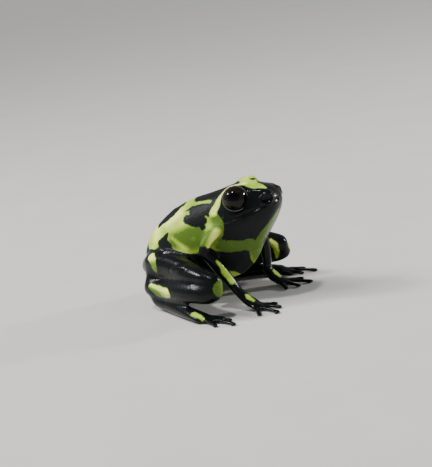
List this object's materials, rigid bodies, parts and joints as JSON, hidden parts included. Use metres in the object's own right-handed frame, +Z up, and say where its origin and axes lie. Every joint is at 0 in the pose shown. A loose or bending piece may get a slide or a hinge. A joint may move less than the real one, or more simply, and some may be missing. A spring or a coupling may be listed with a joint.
{
  "type": "green and black poison dart frog",
  "caption": "Life-size poison dart frog sitting with its chest raised and its hind legs folded, glossy black with lime green patches.",
  "frame": {"origin": "centre of the frog's bounding box, at the level of the floor under its hands and feet", "axes": "+X the way the frog faces, +Y its left side, +Z up"},
  "size_m": [0.035, 0.0384, 0.0246],
  "materials": {
    "green_skin": "wet, glossy lime green skin",
    "black_skin": "wet, glossy black skin",
    "eye": "clear, wet and nearly black"
  },
  "bodies": {
    "root": {"torso": "green_skin", "head": "black_skin", "eye_right": "eye", "upper_arm_right": "green_skin", "forearm_right": "green_skin", "hand_right": "green_skin", "thigh_right": "black_skin", "shank_right": "black_skin", "foot_right": "black_skin", "eye_left": "eye", "upper_arm_left": "green_skin", "forearm_left": "green_skin", "hand_left": "green_skin", "thigh_left": "black_skin", "shank_left": "black_skin", "foot_left": "black_skin"}
  },
  "joints": []
}
